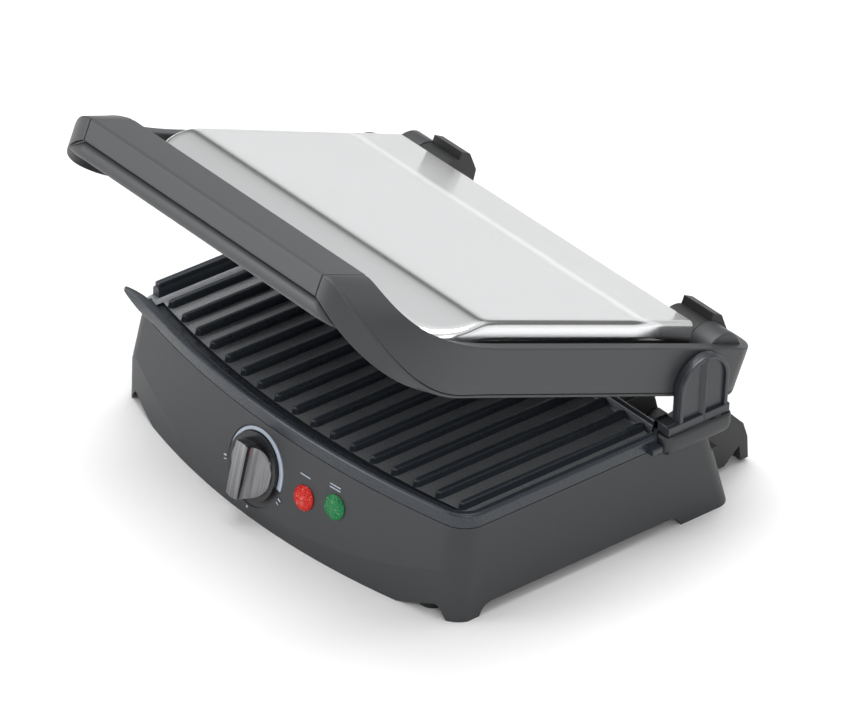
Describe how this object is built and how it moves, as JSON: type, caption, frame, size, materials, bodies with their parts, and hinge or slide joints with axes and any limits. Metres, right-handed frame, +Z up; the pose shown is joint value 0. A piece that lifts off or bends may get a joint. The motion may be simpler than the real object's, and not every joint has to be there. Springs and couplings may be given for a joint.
{
  "type": "panini press",
  "caption": "Contact grill with ribbed non-stick plates, a lid on a wide loop handle, a floating hinge, a thermostat knob and two lamps.",
  "frame": {"origin": "on the table, half way across and half way between the grip's front edge and the rear feet, with the lid at rest", "axes": "+Z up, -Y towards the user (the knob and the grip), +X to the user's right"},
  "size_m": [0.332, 0.3401, 0.2477],
  "materials": {
    "housing_plastic": "fine spark-eroded grain, satin",
    "frame_plastic": "fine grain, satin",
    "black_plastic": "coarse grain, matt",
    "plate_coating": "glossy black non-stick coating over die-cast aluminium",
    "lid_steel": "fine satin brush",
    "zinc_steel": "bright zinc",
    "sheet_aluminium": "mill finish",
    "rubber": "matt",
    "knob_plastic": "gloss",
    "chrome": "bright plated",
    "dial_print": "satin inlay",
    "red_lens": "clear, faceted",
    "green_lens": "clear, faceted",
    "phenolic": "moulded",
    "bronze": "sintered"
  },
  "bodies": {
    "base": {"base_housing": "housing_plastic", "bottom_cover": "black_plastic", "base_screws": "zinc_steel", "rubber_feet": "rubber", "lower_plate": "plate_coating", "lower_heating_element": "zinc_steel", "lower_reflector": "sheet_aluminium", "thermal_fuse": "phenolic", "dial_ring": "dial_print", "thermostat": "phenolic", "thermostat_bracket": "zinc_steel", "power_lens": "red_lens", "ready_lens": "green_lens", "lamp_holders": "phenolic", "cord_gland": "black_plastic", "terminal_block": "phenolic", "hinge_collar_right": "housing_plastic", "hinge_collar_left": "housing_plastic", "hinge_well_right": "black_plastic", "hinge_well_left": "black_plastic", "rear_foot_right": "black_plastic", "rear_foot_left": "black_plastic"},
    "knob": {"knob_body": "chrome", "knob_skirt": "knob_plastic", "thermostat_shaft": "zinc_steel"},
    "hinge_slide": {"hinge_upright_right": "black_plastic", "hinge_upright_left": "black_plastic", "hinge_pins": "zinc_steel"},
    "lid_frame": {"arm_right": "frame_plastic", "arm_left": "frame_plastic", "handle_cover": "frame_plastic", "handle_grip": "frame_plastic", "handle_screws": "zinc_steel", "arm_bushes": "bronze", "float_pins": "zinc_steel"},
    "upper": {"steel_cover": "lid_steel", "upper_housing": "black_plastic", "upper_plate": "plate_coating", "upper_heating_element": "zinc_steel", "upper_reflector": "sheet_aluminium", "upper_foot_right": "black_plastic", "upper_foot_left": "black_plastic"}
  },
  "joints": [
    {"name": "knob_turn", "type": "hinge", "parent": "base", "child": "knob", "pos_m": [-0.0062, -0.11142, 0.0342], "axis": [0.0098, 0.9795, -0.2011], "range_deg": [0, 270]},
    {"name": "hinge_lift", "type": "slide", "parent": "base", "child": "hinge_slide", "axis": [0, 0, 1], "range_m": [-0.011, 0.012]},
    {"name": "lid_open", "type": "hinge", "parent": "hinge_slide", "child": "lid_frame", "pos_m": [0, 0.0985, 0.105], "axis": [-1, 0, 0], "range_deg": [-20.9, 69.1]},
    {"name": "plate_float", "type": "hinge", "parent": "lid_frame", "child": "upper", "pos_m": [0, 0.12366, 0.10278], "axis": [-1, 0, 0], "range_deg": [0, 5]}
  ]
}
